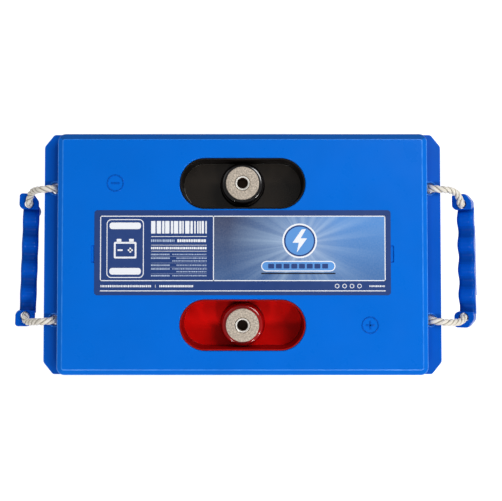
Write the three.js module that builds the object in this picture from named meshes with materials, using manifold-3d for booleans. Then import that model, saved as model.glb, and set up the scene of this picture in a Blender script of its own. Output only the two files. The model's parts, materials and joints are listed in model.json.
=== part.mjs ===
// Sealed L16-size deep cycle battery with two swinging rope handles.
// Millimetres, +Z up. The origin is the middle of the container's underside, X runs along the
// length and Y across the width. The negative terminal is on the +Y side.

import * as THREE from 'three';
import { mergeVertices } from 'three/addons/utils/BufferGeometryUtils.js';
import Module from 'manifold-3d';

const wasm = await Module();
wasm.setup();

// ---------------------------------------------------------------- driving dimensions

const GAP = 0.3; // clearance between pieces that fit together

// container
const CASE_X = 132.4; // half length at the top
const CASE_Y = 87.5; // half width at the top
const CASE_DRAFT = 1.4; // how much smaller each half is at the foot
const CASE_TOP = 383;
const CASE_WALL = 4.5;
const CASE_FLOOR = 6;
const FOOT_CHAMFER = 3;
const PARTITION = 3;
const PARTITION_TOP = 361;
const CELL_PITCH = 83.6;
const CELLS = [-CELL_PITCH, 0, CELL_PITCH];
const SIDE_PANEL = { depth: 0.8, x: 112, low: 40, high: 330, radius: 8 };
const END_PANEL = { depth: 0.8, y: 68, low: 40, high: 300, radius: 8 };

// lid
const LID_TOP = 404;
const LID_LOW = CASE_TOP + GAP;
const DECK = 4; // thickness of the lid's top
const PANEL_X = 131; // half length of the flat top
const PANEL_Y = 83.8;
const PANEL_RADIUS = 1.6;
const BEVEL = 4.2; // width of the sloped border
const BEVEL_DROP = 2.4;
const LID_WALL = 4;
const LEDGE_X = 147.5;
const LEDGE_Y = 88.9;
const LEDGE_TOP = 391;
const LEDGE_SKIN = 3.2; // thickness where the ledge is hollow underneath
const LEDGE_CHAMFER = { x: 7.2, y: 8.9 };
const ROPE_HOLE = { x: 139.5, y: 48.9, radius: 3.9, rim: 1.0 };
const MARK = { x: 92.6, y: 51.6, outer: 6.25, inner: 5.35, bar: 3.1, thick: 0.9, rise: 0.4 };

// vent recess, cover and label
const COVER = { x: 106.5, y: 28, y0: 1, thick: 2.6, radius: 2.5 };
const RECESS_FLOOR = LID_TOP - COVER.thick - GAP;
const WELL = { outer: 13, upper: 11, lower: 9.2, low: 383.5, floor: 386, step: 395.6 };
const NOZZLE = { outer: 4.6, inner: 2.4, top: 392 };
const NOTCH = { x: 108.4, half: 6.5, width: 1.6, depth: 1.2 };
const LABEL = { x: 107.6, y: 30.8, y0: 1, thick: 0.3, radius: 2.2 };

// terminal pockets and terminals
const POCKET_Y = 51.5;
const POCKET = { length: 91.2, width: 36.6, wall: 1.5, floor: 380, low: 377.2, top: 403.6 };
const TERMINAL_Y = 52;
const POST = { radius: 8.2, low: 371.4 };
const BUTTON = { radius: 12.5, low: 397.2, top: 400 };
const INSERT = { outer: 5.25, bore: 4.15, low: 384.3, floor: 386, top: 400.6 };

// plate groups
const PLATE = { y: 78, low: 16, high: 335 };
const POSITIVE_THICK = 3.2;
const NEGATIVE_THICK = 2.3;
const MAT = 1.4;
const POSITIVES = 8; // positive plates in a cell, with one more negative
const LUG = { half: 6, top: 352 };
const STRAP = { half: 8, top: 359.5 };
const RISER = { half: 10, top: 363 };
const BUSBAR = { x: 94, half: 9, low: 363.3, high: 371 };

// rope and handles
const ROPE = 2.75; // radius
const ROPE_SIDES = 8;
const SWING_X = 150.6; // where the rope bends over the ledge
const SWING_Z = 394.1;
const KNOT = { radius: 6.3, squash: 0.95, z: 376.4 };
const GRIP = {
  half: 50.9, // half length
  lug: 12.2, // length of each end lug
  lugLow: -7.3,
  lugHigh: 7.3,
  lugDepth: 10.4,
  bodyLow: -4.8,
  bodyHigh: 8.3,
  deep: 15,
  taper: 1, // how much each side leans in towards the back
  deepHalf: 26, // half length of the part with the rope channel
  shallow: 9,
  hole: 43, // rope hole from the middle
  holeRadius: 3.3,
  above: 3.4, // height of the roll axis over the lug's face
  crest: -0.7,
  valley: -3.1,
  pitch: 19.1,
  firstCrest: 12, // a crest's distance from the middle
  channelMiddle: 1.7,
  channelHalf: 3.4,
  channelFloor: -9.8,
};
const HANDLES = {
  left: {
    side: -1,
    upper: { anchor: 47.9, bends: [[0.35, 47.7], [0.65, 46.9], [0.85, 44.9], [0.96, 41.9]] },
    lower: { anchor: -49.9, bends: [[0.4, -50.6], [0.72, -51.2], [0.92, -50.4]] },
    pivotUpper: [-162.7, 38.4, 377],
    pivotLower: [-165.1, -47.2, 377],
    tilt: 15,
    bulge: { upper: 6.3, lower: 4.4 },
  },
  right: {
    side: 1,
    upper: { anchor: 47.7, bends: [[0.3, 47.5], [0.55, 46.7], [0.8, 44.8], [0.95, 41.6]] },
    lower: { anchor: -50.2, bends: [[0.4, -50.8], [0.75, -51.0], [0.93, -50.2]] },
    pivotUpper: [165.2, 37.8, 380.5],
    pivotLower: [166.3, -47.9, 380.5],
    tilt: -28,
    bulge: { upper: 2, lower: 2 },
  },
};

// ---------------------------------------------------------------- shape helpers

function between(from, to, share) {
  return from + (to - from) * share;
}

function solid(geometry) {
  const bare = geometry.clone();
  bare.deleteAttribute('normal');
  bare.deleteAttribute('uv');
  const merged = mergeVertices(bare, 1e-4);
  const mesh = new wasm.Mesh({
    numProp: 3,
    vertProperties: new Float32Array(merged.attributes.position.array),
    triVerts: new Uint32Array(merged.index.array),
  });
  return new wasm.Manifold(mesh);
}

function geometryOf(body) {
  const mesh = body.getMesh();
  const geometry = new THREE.BufferGeometry();
  geometry.setAttribute('position', new THREE.BufferAttribute(mesh.vertProperties, 3));
  geometry.setIndex(new THREE.BufferAttribute(mesh.triVerts, 1));
  geometry.computeVertexNormals();
  return geometry;
}

function union(...bodies) {
  return bodies.reduce((whole, body) => whole.add(body));
}

function without(body, ...cuts) {
  return cuts.reduce((whole, cut) => whole.subtract(cut), body);
}

function box([x0, x1], [y0, y1], [z0, z1]) {
  const geometry = new THREE.BoxGeometry(x1 - x0, y1 - y0, z1 - z0);
  geometry.translate((x0 + x1) / 2, (y0 + y1) / 2, (z0 + z1) / 2);
  return solid(geometry);
}

// A box whose half sizes differ at its foot and its top.
function taperedBox(foot, top, z0, z1) {
  const geometry = new THREE.BoxGeometry(2, 2, 1);
  const position = geometry.attributes.position;
  for (let i = 0; i < position.count; i += 1) {
    const isTop = position.getZ(i) > 0;
    const half = isTop ? top : foot;
    position.setXYZ(i, position.getX(i) * half[0], position.getY(i) * half[1], isTop ? z1 : z0);
  }
  return solid(geometry);
}

function roundedRectangle(halfX, halfY, radius) {
  const shape = new THREE.Shape();
  shape.moveTo(halfX, -halfY + radius);
  shape.absarc(halfX - radius, halfY - radius, radius, 0, Math.PI / 2);
  shape.absarc(-halfX + radius, halfY - radius, radius, Math.PI / 2, Math.PI);
  shape.absarc(-halfX + radius, -halfY + radius, radius, Math.PI, 1.5 * Math.PI);
  shape.absarc(halfX - radius, -halfY + radius, radius, 1.5 * Math.PI, 2 * Math.PI);
  return shape;
}

function stadium(length, width) {
  return roundedRectangle(length / 2, width / 2, width / 2);
}

// Each quarter arc of the outline gets twice as many sides as segments.
function prism(shape, z0, z1, segments = 1) {
  const geometry = new THREE.ExtrudeGeometry(shape, {
    depth: z1 - z0,
    bevelEnabled: false,
    curveSegments: segments,
  });
  geometry.translate(0, 0, z0);
  return solid(geometry);
}

function polygon(points) {
  return new THREE.Shape(points.map(([x, y]) => new THREE.Vector2(x, y)));
}

// The outline of a strip of even thickness along a path whose corners are square.
function strip(path, thick) {
  const normal = (from, to) => {
    const length = Math.hypot(to[0] - from[0], to[1] - from[1]);
    return [(from[1] - to[1]) / length, (to[0] - from[0]) / length];
  };
  const edge = (sign) =>
    path.map((point, i) => {
      const before = i > 0 ? normal(path[i - 1], point) : [0, 0];
      const after = i < path.length - 1 ? normal(point, path[i + 1]) : [0, 0];
      const reach = (sign * thick) / 2;
      return [point[0] + reach * (before[0] + after[0]), point[1] + reach * (before[1] + after[1])];
    });
  return polygon([...edge(1), ...edge(-1).reverse()]);
}

// A solid of revolution about Z from [radius, height] pairs.
function turned(profile, segments = 28) {
  const points = profile.map(([radius, height]) => new THREE.Vector2(radius, height));
  const geometry = new THREE.LatheGeometry(points, segments);
  geometry.rotateX(Math.PI / 2);
  const body = solid(geometry);
  return body.volume() < 0 ? solid(geometry.index ? flipped(geometry) : geometry) : body;
}

function flipped(geometry) {
  const index = geometry.index.array;
  for (let i = 0; i < index.length; i += 3) {
    const first = index[i];
    index[i] = index[i + 1];
    index[i + 1] = first;
  }
  return geometry;
}

function cylinder(radius, z0, z1, segments = 24) {
  const geometry = new THREE.CylinderGeometry(radius, radius, z1 - z0, segments);
  geometry.rotateX(Math.PI / 2);
  geometry.translate(0, 0, (z0 + z1) / 2);
  return solid(geometry);
}

function cone(radius0, radius1, z0, z1, segments = 24) {
  const geometry = new THREE.CylinderGeometry(radius1, radius0, z1 - z0, segments);
  geometry.rotateX(Math.PI / 2);
  geometry.translate(0, 0, (z0 + z1) / 2);
  return solid(geometry);
}

function ball(radius, centre) {
  const geometry = new THREE.SphereGeometry(radius, 10, 6);
  geometry.translate(...centre);
  return solid(geometry);
}

// A rope through the given points: a straight-sided section carried along a smooth curve.
function rope(points, steps) {
  const section = new THREE.Shape();
  section.absarc(0, 0, ROPE, 0, 2 * Math.PI);
  const curve = new THREE.CatmullRomCurve3(
    points.map((point) => new THREE.Vector3(...point)),
    false,
    'centripetal',
  );
  const geometry = new THREE.ExtrudeGeometry(section, {
    steps,
    curveSegments: ROPE_SIDES / 2,
    extrudePath: curve,
  });
  return solid(geometry);
}

const group = new THREE.Group();
group.name = 'deep_cycle_battery';

function addMesh(parent, name, geometry, colour, roughness, metalness = 0) {
  const material = new THREE.MeshStandardMaterial({ color: colour, roughness, metalness });
  material.name = `${name}_material`;
  const mesh = new THREE.Mesh(geometry, material);
  mesh.name = name;
  parent.add(mesh);
  return mesh;
}

const BLUE = 0x1a6ad0;
const GRIP_BLUE = 0x0c4cb0;
const BLACK = 0x1c1a19;
const RED = 0xb01008;
const LEAD = 0x9a9690;
const BRASS = 0xc9c3b6;
const RUBBER = 0x161616;
const IVORY = 0xe6dfd0;

// ---------------------------------------------------------------- container

function buildContainer() {
  const foot = [CASE_X - CASE_DRAFT, CASE_Y - CASE_DRAFT];
  const top = [CASE_X, CASE_Y];
  const chamferFoot = foot.map((half) => half - FOOT_CHAMFER);
  const shell = union(
    taperedBox(chamferFoot, foot, 0, FOOT_CHAMFER),
    taperedBox(foot, top, FOOT_CHAMFER, CASE_TOP),
  );
  const inner = top.map((half) => half - CASE_WALL);
  const innerFoot = foot.map((half) => half - CASE_WALL);
  let body = without(shell, taperedBox(innerFoot, inner, CASE_FLOOR, CASE_TOP + 1));

  for (const x of [-CELL_PITCH / 2, CELL_PITCH / 2]) {
    const half = PARTITION / 2;
    const wall = box([x - half, x + half], [-inner[1] - 1, inner[1] + 1], [1, PARTITION_TOP]);
    body = body.add(wall);
  }

  // shallow panels sunk into the four outer faces
  for (const side of [-1, 1]) {
    const height = (SIDE_PANEL.high - SIDE_PANEL.low) / 2;
    const middle = (SIDE_PANEL.high + SIDE_PANEL.low) / 2;
    const sideOutline = roundedRectangle(SIDE_PANEL.x, height, SIDE_PANEL.radius);
    const depth = SIDE_PANEL.depth + CASE_DRAFT;
    let panel = prism(sideOutline, -depth, 4, 2);
    panel = panel.rotate([90, 0, side > 0 ? 180 : 0]);
    body = body.subtract(panel.translate([0, side * CASE_Y, middle]));

    const endHeight = (END_PANEL.high - END_PANEL.low) / 2;
    const endMiddle = (END_PANEL.high + END_PANEL.low) / 2;
    const endOutline = roundedRectangle(END_PANEL.y, endHeight, END_PANEL.radius);
    const endDepth = END_PANEL.depth + CASE_DRAFT;
    let endPanel = prism(endOutline, -endDepth, 4, 2);
    endPanel = endPanel.rotate([90, 0, side > 0 ? 90 : -90]);
    body = body.subtract(endPanel.translate([side * CASE_X, 0, endMiddle]));
  }
  return body;
}

addMesh(group, 'container', geometryOf(buildContainer()), BLUE, 0.42);

// ---------------------------------------------------------------- lid

function ledgeOutline() {
  const x = LEDGE_X;
  const y = LEDGE_Y;
  const cornerX = x - LEDGE_CHAMFER.x;
  const cornerY = y - LEDGE_CHAMFER.y;
  const soft = 1.4; // rounding on each side of a corner
  const shape = new THREE.Shape();
  const corner = (sx, sy, reverse) => {
    const points = [
      [sx * x, sy * (cornerY - soft)],
      [sx * (x - soft * 0.6), sy * (cornerY + soft * 0.8)],
      [sx * (cornerX + soft), sy * (y - soft * 1.2)],
      [sx * (cornerX - soft * 2), sy * y],
    ];
    return reverse ? points.reverse() : points;
  };
  const ring = [
    ...corner(1, 1, false),
    ...corner(-1, 1, true),
    ...corner(-1, -1, false),
    ...corner(1, -1, true),
  ];
  ring.forEach(([px, py], i) => (i === 0 ? shape.moveTo(px, py) : shape.lineTo(px, py)));
  shape.closePath();
  return shape;
}

function buildPlateau() {
  const bevelled = new THREE.ExtrudeGeometry(roundedRectangle(PANEL_X, PANEL_Y, PANEL_RADIUS), {
    depth: LID_TOP - LID_LOW - BEVEL_DROP,
    bevelEnabled: true,
    bevelThickness: BEVEL_DROP,
    bevelSize: BEVEL,
    bevelSegments: 2,
    curveSegments: 1,
  });
  bevelled.translate(0, 0, LID_LOW);
  const below = box([-200, 200], [-200, 200], [LID_LOW - 20, LID_LOW]);
  return solid(bevelled).subtract(below);
}

function circledMark(x, y, plus) {
  const low = LID_TOP - 1;
  const high = LID_TOP + MARK.rise;
  const ring = cylinder(MARK.outer, low, high, 20).subtract(
    cylinder(MARK.inner, low - 1, high + 1, 20),
  );
  const across = box([-MARK.bar, MARK.bar], [-MARK.thick / 2, MARK.thick / 2], [low, high]);
  const upright = box([-MARK.thick / 2, MARK.thick / 2], [-MARK.bar, MARK.bar], [low, high]);
  const sign = plus ? across.add(upright) : across;
  return ring.add(sign).translate([x, y, 0]);
}

function buildLid() {
  const hollow = box(
    [-PANEL_X, PANEL_X],
    [-PANEL_Y, PANEL_Y],
    [LID_LOW - 1, LID_TOP - DECK],
  );
  let body = buildPlateau().add(prism(ledgeOutline(), LID_LOW, LEDGE_TOP));
  body = body.subtract(hollow);

  // ledges hollow underneath, with solid pads around the rope holes
  for (const side of [-1, 1]) {
    const near = PANEL_X + LID_WALL;
    const far = LEDGE_X - 2.4;
    const across = side > 0 ? [near, far] : [-far, -near];
    const padIn = ROPE_HOLE.y - 9;
    const padOut = ROPE_HOLE.y + 9;
    const end = LEDGE_Y - LEDGE_CHAMFER.y - 2;
    for (const span of [[-end, -padOut], [-padIn, -1], [1, padIn], [padOut, end]]) {
      body = body.subtract(box(across, span, [LID_LOW - 1, LEDGE_TOP - LEDGE_SKIN]));
    }
  }

  // wells for the relief valves
  for (const x of CELLS) {
    const well = cylinder(WELL.outer, WELL.low, LID_TOP - DECK + 0.5, 16);
    body = body.add(well.translate([x, COVER.y0, 0]));
  }
  const recess = prism(
    roundedRectangle(COVER.x + GAP, COVER.y + GAP, COVER.radius),
    RECESS_FLOOR,
    LID_TOP + 1,
  );
  const frame = box(
    [-COVER.x - 3, COVER.x + 3],
    [COVER.y0 - COVER.y - 3, COVER.y0 + COVER.y + 3],
    [RECESS_FLOOR - 3, LID_TOP - DECK + 0.5],
  );
  body = body.add(frame).subtract(recess.translate([0, COVER.y0, 0]));
  for (const x of CELLS) {
    const bore = union(
      cylinder(WELL.upper, WELL.step, LID_TOP, 16),
      cylinder(WELL.lower, WELL.floor, LID_TOP, 16),
    );
    const nozzle = cylinder(NOZZLE.outer, WELL.floor - 1, NOZZLE.top, 12);
    const throat = cylinder(NOZZLE.inner, WELL.low - 1, NOZZLE.top + 1, 8);
    body = body.subtract(bore.translate([x, COVER.y0, 0]));
    body = body.add(nozzle.translate([x, COVER.y0, 0]));
    body = body.subtract(throat.translate([x, COVER.y0, 0]));
  }
  for (const side of [-1, 1]) {
    const middle = side * NOTCH.x;
    body = body.subtract(
      box(
        [middle - NOTCH.width, middle + NOTCH.width],
        [COVER.y0 - 1 - NOTCH.half, COVER.y0 - 1 + NOTCH.half],
        [LID_TOP - NOTCH.depth, LID_TOP + 1],
      ),
    );
  }

  // openings for the pockets and holes for the ropes
  const opening = stadium(POCKET.length + 2 * GAP, POCKET.width + 2 * GAP);
  for (const side of [-1, 1]) {
    const cut = prism(opening, LID_LOW, LID_TOP + 1, 4);
    body = body.subtract(cut.translate([0, side * POCKET_Y, 0]));
    for (const across of [-1, 1]) {
      const { x, y, radius, rim } = ROPE_HOLE;
      const hole = union(
        cylinder(radius, LID_LOW - 1, LEDGE_TOP + 1, 16),
        cone(radius, radius + rim + 0.2, LEDGE_TOP - rim, LEDGE_TOP + 0.2, 16),
      );
      body = body.subtract(hole.translate([across * x, side * y, 0]));
    }
  }
  body = body.add(circledMark(-MARK.x, MARK.y, false));
  body = body.add(circledMark(MARK.x, -MARK.y, true));
  return body;
}

addMesh(group, 'lid', geometryOf(buildLid()), BLUE, 0.36);

// ---------------------------------------------------------------- vent cover, valves and label

const coverShape = roundedRectangle(COVER.x, COVER.y, COVER.radius);
const cover = prism(coverShape, RECESS_FLOOR + GAP / 2, LID_TOP - GAP / 2);
addMesh(group, 'vent_cover', geometryOf(cover.translate([0, COVER.y0, 0])), BLUE, 0.42);

const labelShape = roundedRectangle(LABEL.x, LABEL.y, LABEL.radius);
const labelLow = LID_TOP + 0.1;
const label = prism(labelShape, labelLow, labelLow + LABEL.thick, 2);
addMesh(group, 'label', geometryOf(label.translate([0, LABEL.y0, 0])), 0x2a4a8c, 0.35);

const VALVE = { outer: 7, inner: NOZZLE.outer + GAP, low: WELL.floor + GAP, top: 394.6 };
const ARRESTOR = { radius: WELL.upper - GAP, low: WELL.step + 0.2, thick: 2.4 };

CELLS.forEach((x, i) => {
  const valve = turned(
    [
      [0, NOZZLE.top + GAP],
      [VALVE.inner, NOZZLE.top + GAP],
      [VALVE.inner, VALVE.low],
      [VALVE.outer, VALVE.low],
      [VALVE.outer, VALVE.top - 1],
      [VALVE.outer - 1, VALVE.top],
      [0, VALVE.top],
    ],
    12,
  );
  const valveName = `relief_valve_${i + 1}`;
  const valveMesh = addMesh(group, valveName, geometryOf(valve), RUBBER, 0.85);
  valveMesh.position.set(x, COVER.y0, 0);

  const disc = cylinder(ARRESTOR.radius, ARRESTOR.low, ARRESTOR.low + ARRESTOR.thick, 16);
  const discMesh = addMesh(group, `flame_arrestor_${i + 1}`, geometryOf(disc), 0xcfc9bb, 0.95);
  discMesh.position.set(x, COVER.y0, 0);
});

// ---------------------------------------------------------------- terminal pockets

function buildPocket(bossShift) {
  const { length, width, wall, floor, low, top } = POCKET;
  const tub = without(
    prism(stadium(length, width), low, top, 4),
    prism(stadium(length - 2 * wall, width - 2 * wall), floor, top + 1, 4),
  );
  const boss = turned(
    [
      [POST.radius + GAP, low + 0.5],
      [16.9, low + 0.5],
      [16.9, floor + 0.3],
      [15.9, floor + 0.9],
      [15.4, floor + 2.2],
      [14.3, 394.8],
      [13.9, 396.2],
      [13, 396.9],
      [11.9, 396.9],
      [11.9, 394.2],
      [POST.radius + GAP, 394.2],
      [POST.radius + GAP, low + 0.5],
    ],
    24,
  );
  const bore = cylinder(POST.radius + GAP, low - 1, top + 5, 24);
  return tub.add(boss.translate([0, bossShift, 0])).subtract(bore.translate([0, bossShift, 0]));
}

const SEAL = { inner: POST.radius + GAP, outer: 11.6, low: 394.5, high: 396.9 };

for (const [pole, side, colour] of [['negative', 1, BLACK], ['positive', -1, RED]]) {
  const pocket = addMesh(
    group,
    `pocket_${pole}`,
    geometryOf(buildPocket(side * (TERMINAL_Y - POCKET_Y))),
    colour,
    0.38,
  );
  pocket.position.set(0, side * POCKET_Y, 0);

  const terminal = turned(
    [
      [0, POST.low],
      [POST.radius, POST.low],
      [POST.radius, BUTTON.low],
      [BUTTON.radius - 0.3, BUTTON.low],
      [BUTTON.radius, BUTTON.low + 0.3],
      [BUTTON.radius, BUTTON.top - 0.4],
      [BUTTON.radius - 0.4, BUTTON.top],
      [INSERT.outer + GAP, BUTTON.top],
      [INSERT.outer + GAP, INSERT.low - GAP],
      [0, INSERT.low - GAP],
    ],
    24,
  );
  const terminalName = `terminal_${pole}`;
  const terminalMesh = addMesh(group, terminalName, geometryOf(terminal), LEAD, 0.5, 0.7);
  terminalMesh.position.set(0, side * TERMINAL_Y, 0);

  const insert = turned(
    [
      [0, INSERT.low],
      [INSERT.outer, INSERT.low],
      [INSERT.outer, INSERT.top - 0.45],
      [INSERT.outer - 0.4, INSERT.top],
      [INSERT.bore + 0.5, INSERT.top],
      [INSERT.bore, INSERT.top - 0.6],
      [INSERT.bore, INSERT.floor],
      [0, INSERT.floor],
    ],
    16,
  );
  const insertName = `thread_insert_${pole}`;
  const insertMesh = addMesh(group, insertName, geometryOf(insert), BRASS, 0.25, 0.95);
  insertMesh.position.set(0, side * TERMINAL_Y, 0);

  const seal = cylinder(SEAL.outer, SEAL.low, SEAL.high, 20).subtract(
    cylinder(SEAL.inner, SEAL.low - 1, SEAL.high + 1, 24),
  );
  const sealMesh = addMesh(group, `terminal_seal_${pole}`, geometryOf(seal), RUBBER, 0.8);
  sealMesh.position.set(0, side * TERMINAL_Y, 0);

  const { x, half, low, high } = BUSBAR;
  const busbar = box([-x, x], [-half, half], [low, high]);
  const busbarMesh = addMesh(group, `busbar_${pole}`, geometryOf(busbar), LEAD, 0.55, 0.6);
  busbarMesh.position.set(0, side * TERMINAL_Y, 0);
}

// ---------------------------------------------------------------- plate groups

const STEP = (POSITIVE_THICK + NEGATIVE_THICK) / 2 + MAT + 2 * GAP; // one plate to the next
const plateX = (index) => (index - POSITIVES) * STEP;

// Plates of one sign, joined by their lugs and a cast strap with a riser.
function buildPlates(indices, thick, lugY) {
  const half = thick / 2;
  const bodies = indices.map((index) => {
    const x = plateX(index);
    const plate = box([x - half, x + half], [-PLATE.y, PLATE.y], [PLATE.low, PLATE.high]);
    const lugSpan = [lugY - LUG.half, lugY + LUG.half];
    return plate.add(box([x - half, x + half], lugSpan, [PLATE.high - 1, LUG.top + 1]));
  });
  const reach = Math.max(...indices.map((index) => Math.abs(plateX(index)))) + half;
  const strap = box([-reach, reach], [lugY - STRAP.half, lugY + STRAP.half], [LUG.top, STRAP.top]);
  const riser = box(
    [-RISER.half, RISER.half],
    [lugY - LUG.half, lugY + LUG.half],
    [STRAP.top - 1, RISER.top],
  );
  return union(strap, riser, ...bodies);
}

// One glass mat folded back and forth between all the plates of a cell.
function buildSeparator() {
  const reach = PLATE.y + 1 + MAT / 2;
  const shift = (POSITIVE_THICK - NEGATIVE_THICK) / 4; // keeps a sheet midway between two faces
  const path = [];
  for (let i = 0; i < 2 * POSITIVES; i += 1) {
    const up = i % 2 === 0;
    const x = plateX(i + 0.5) + (up ? -shift : shift);
    path.push([x, up ? -reach : reach]);
    path.push([x, up ? reach : -reach]);
  }
  return prism(strip(path, MAT), PLATE.low - 4, PLATE.high + 4);
}

const evens = Array.from({ length: POSITIVES + 1 }, (_, i) => 2 * i);
const odds = Array.from({ length: POSITIVES }, (_, i) => 2 * i + 1);

CELLS.forEach((x, i) => {
  const number = i + 1;
  const negatives = buildPlates(evens, NEGATIVE_THICK, TERMINAL_Y);
  const positives = buildPlates(odds, POSITIVE_THICK, -TERMINAL_Y);
  const items = [
    [`negative_plates_${number}`, negatives, 0x8b8f93, 0.8, 0.2],
    [`positive_plates_${number}`, positives, 0x5a3a2c, 0.85, 0.1],
    [`separator_${number}`, buildSeparator(), 0xf0efe9, 0.95, 0],
  ];
  for (const [name, body, colour, roughness, metalness] of items) {
    const mesh = addMesh(group, name, geometryOf(body), colour, roughness, metalness);
    mesh.position.x = x;
  }
});

// ---------------------------------------------------------------- grips

// The finger waves: a side outline in length and height, with four crests.
function waveOutline() {
  const inner = GRIP.half - GRIP.lug + 0.5;
  const points = [];
  const count = 32;
  for (let i = 0; i <= count; i += 1) {
    const along = -inner + (2 * inner * i) / count;
    const phase = (2 * Math.PI * (along - GRIP.firstCrest)) / GRIP.pitch;
    const wave = (1 + Math.cos(phase)) / 2;
    points.push([along, GRIP.valley + (GRIP.crest - GRIP.valley) * wave]);
  }
  const { deep, deepHalf, shallow } = GRIP;
  points.push([inner, -shallow]);
  points.push([deepHalf + 1.5, -shallow]);
  points.push([deepHalf, -deep]);
  points.push([-deepHalf, -deep]);
  points.push([-deepHalf - 1.5, -shallow]);
  points.push([-inner, -shallow]);
  return polygon(points);
}

// The section across the grip, rounded at its finger edges and its back.
function bodySection() {
  const { bodyLow: low, bodyHigh: high, deep, taper } = GRIP;
  return polygon([
    [low, -4.2],
    [low + 0.6, -2.2],
    [low + 2.2, -0.6],
    [low + 4.2, 0],
    [high - 4.2, 0],
    [high - 2.2, -0.6],
    [high - 0.6, -2.2],
    [high, -4.2],
    [high - taper, -deep + 2.4],
    [high - taper - 0.7, -deep + 0.8],
    [high - taper - 1.6, -deep],
    [low + taper + 1.6, -deep],
    [low + taper + 0.7, -deep + 0.8],
    [low + taper, -deep + 2.4],
  ]);
}

// An end lug seen on its face, for the end at positive length.
function lugOutline(end) {
  const { lugLow: low, lugHigh: high, half, lug } = GRIP;
  const ring = [
    [low, half - lug + 2.6],
    [low + 2.6, half - lug],
    [high, half - lug],
    [high, half - 5.8],
    [high - 4.4, half],
    [low + 1.6, half],
    [low, half - 1.6],
  ];
  return polygon(end > 0 ? ring : ring.map(([across, along]) => [across, -along]).reverse());
}

function buildGrip() {
  const wide = 30;
  let wave = prism(waveOutline(), -wide, wide);
  // length to +Y, height to +Z, extrusion to X
  wave = wave.rotate([90, 0, 90]);
  let section = prism(bodySection(), -GRIP.half, GRIP.half);
  // width to X, height to +Z, extrusion to Y
  section = section.rotate([90, 0, 0]);
  let body = wave.intersect(section);
  for (const end of [-1, 1]) {
    const face = prism(lugOutline(end), -GRIP.lugDepth, 0);
    body = body.add(face);
  }
  const { channelMiddle: middle, channelHalf: half, channelFloor: floor, deep } = GRIP;
  const inner = GRIP.half - GRIP.lug - 0.2;
  body = body.subtract(
    box([middle - half, middle + half], [-inner, inner], [-deep - 1, floor]),
  );
  for (const end of [-1, 1]) {
    const hole = union(
      cylinder(GRIP.holeRadius, -deep - 1, 1, 16),
      cone(GRIP.holeRadius, GRIP.holeRadius + 1.1, -0.9, 0.2, 16),
      cone(GRIP.holeRadius + 2.4, GRIP.holeRadius, -GRIP.lugDepth - 0.2, -GRIP.lugDepth + 2.2, 16),
    );
    body = body.subtract(hole.translate([0, end * GRIP.hole, 0]));
  }
  return body;
}

// Half of the rope behind a grip, from a lug's face to the middle of the back channel. Behind the
// lug it bows sideways by bulge before it turns into the channel.
function spanHalf(bulge) {
  const middle = GRIP.channelMiddle;
  return [
    [0, GRIP.hole, GRIP.above - ROPE - GAP],
    [0, GRIP.hole, -5],
    [0.1, GRIP.hole, -9.5],
    [between(0.9, bulge, 0.36), GRIP.hole - 0.4, -13.3],
    [bulge, GRIP.hole - 3.7, -15.1],
    [between(middle, bulge, 0.92), GRIP.hole - 7.6, -15.4],
    [between(middle, bulge, 0.45), GRIP.hole - 11.6, -14.6],
    [between(middle, bulge, 0.08), GRIP.hole - 15.8, -13.5],
    [middle, 21, -12.9],
  ];
}

function buildSpan(bulge) {
  const upper = spanHalf(bulge.upper);
  const lower = spanHalf(bulge.lower)
    .map(([x, y, z]) => [x, -y, z])
    .reverse();
  return rope([...upper, [GRIP.channelMiddle, 0, -12.9], ...lower], 32);
}

// ---------------------------------------------------------------- rope handles

function buildAnchor(side, anchorY) {
  const holeY = Math.sign(anchorY) * ROPE_HOLE.y;
  const x = side * ROPE_HOLE.x;
  const end = side * (SWING_X - ROPE - 0.35);
  const points = [
    [x, holeY, KNOT.z],
    [x, holeY, 384],
    [x, holeY, 389.6],
    [x + side * 0.9, between(holeY, anchorY, 0.15), 392.6],
    [x + side * 3.8, between(holeY, anchorY, 0.5), SWING_Z],
    [end, anchorY, SWING_Z],
  ];
  const knot = new THREE.SphereGeometry(KNOT.radius, 10, 7);
  knot.scale(1, 1, KNOT.squash);
  knot.translate(x, holeY, KNOT.z);
  return rope(points, 10).add(solid(knot));
}

function buildLeg(side, leg, pivot) {
  const start = [side * SWING_X, leg.anchor, SWING_Z];
  const points = [start];
  for (const [share, y] of leg.bends) {
    points.push([between(start[0], pivot[0], share), y, between(start[2], pivot[2], share)]);
  }
  points.push(pivot);
  return union(rope(points, 8), ball(ROPE, start), ball(ROPE, pivot));
}

for (const [name, handle] of Object.entries(HANDLES)) {
  const { side, upper, lower, pivotUpper, pivotLower, tilt, bulge } = handle;
  const parts = [
    [`rope_anchor_${name}_a`, buildAnchor(side, upper.anchor)],
    [`rope_anchor_${name}_b`, buildAnchor(side, lower.anchor)],
    [`rope_leg_${name}_a`, buildLeg(side, upper, pivotUpper)],
    [`rope_leg_${name}_b`, buildLeg(side, lower, pivotLower)],
  ];
  for (const [partName, body] of parts) {
    addMesh(group, partName, geometryOf(body), IVORY, 0.9);
  }

  const high = new THREE.Vector3(...pivotUpper);
  const low = new THREE.Vector3(...pivotLower);
  const frame = new THREE.Group();
  frame.name = `handle_${name}`;
  frame.position.copy(high).add(low).multiplyScalar(0.5);
  frame.rotation.order = 'ZYX';
  frame.rotation.z = Math.atan2(low.x - high.x, high.y - low.y);
  frame.rotation.y = THREE.MathUtils.degToRad(tilt);
  group.add(frame);

  const grip = addMesh(frame, `grip_${name}`, geometryOf(buildGrip()), GRIP_BLUE, 0.35);
  grip.position.z = -GRIP.above;
  const span = addMesh(frame, `rope_span_${name}`, geometryOf(buildSpan(bulge)), IVORY, 0.9);
  span.position.z = -GRIP.above;
}

export default group;
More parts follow.
